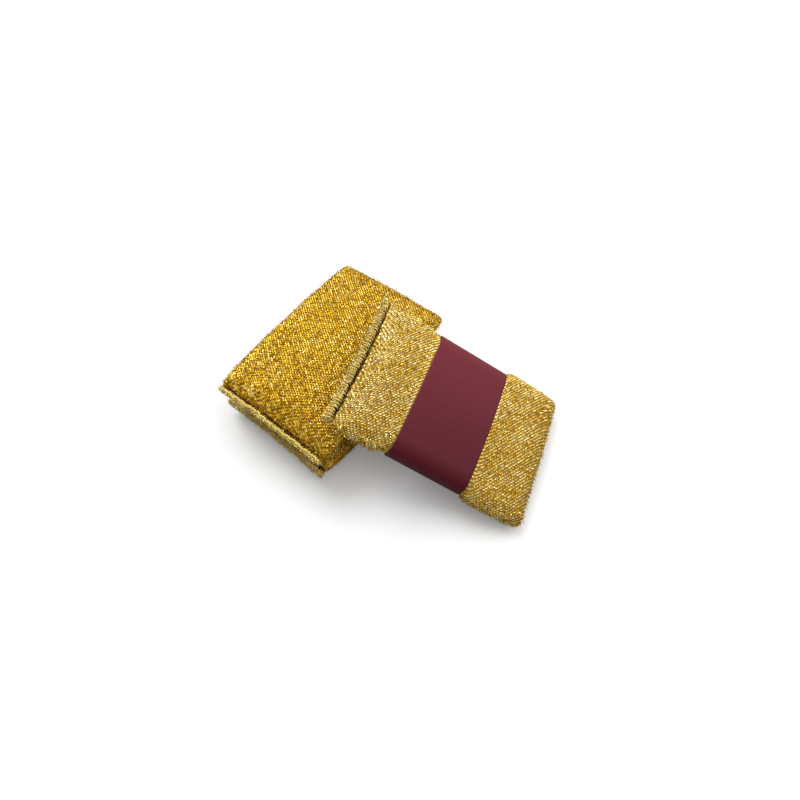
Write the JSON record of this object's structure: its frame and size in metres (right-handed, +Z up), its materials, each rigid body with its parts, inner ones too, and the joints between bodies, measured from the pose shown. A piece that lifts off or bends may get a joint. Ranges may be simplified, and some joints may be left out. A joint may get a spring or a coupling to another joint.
{
  "type": "kitchen sponge set",
  "caption": "Flat kitchen sponges in gold metallic net: foam in a knitted tube with an overcast lip; a small pile, and one in a plain paper band leaning on it.",
  "frame": {"origin": "middle of the whole set's bounding box, on the floor that it lies on", "axes": "+Z up; +X to the right in the picture, which is the set's longest extent; +Y away from the viewer"},
  "size_m": [0.2196, 0.1824, 0.062],
  "materials": {
    "gold_lame_knit": "gold metallic slit-yarn knit, sparkling, slightly fuzzy",
    "gold_thread": "gold sewing thread",
    "foam": "open-cell foam",
    "wine_paper": "wine red satin paper, bare",
    "dry_glue": "dried hot-melt glue"
  },
  "bodies": {
    "lower_sponge": {"lower_knit_cover": "gold_lame_knit", "lower_foam_core": "foam", "lower_lip_stitching": "gold_thread", "lower_end_seam_stitching": "gold_thread"},
    "upper_sponge": {"upper_knit_cover": "gold_lame_knit", "upper_foam_core": "foam", "upper_lip_stitching": "gold_thread", "upper_end_seam_stitching": "gold_thread"},
    "banded_sponge": {"banded_knit_cover": "gold_lame_knit", "banded_foam_core": "foam", "banded_lip_stitching": "gold_thread", "banded_end_seam_stitching": "gold_thread"},
    "band": {"paper_band": "wine_paper", "band_glue": "dry_glue"}
  },
  "joints": [
    {"name": "upper_lift", "type": "slide", "parent": "lower_sponge", "child": "upper_sponge", "axis": [0, 0, 1], "range_m": [0, 0.08]},
    {"name": "banded_lift", "type": "slide", "parent": "upper_sponge", "child": "banded_sponge", "axis": [0, 0, 1], "range_m": [0, 0.12]},
    {"name": "band_slide", "type": "slide", "parent": "banded_sponge", "child": "band", "axis": [0.8602, -0.3563, -0.3648], "range_m": [-0.004, 0.026]}
  ]
}
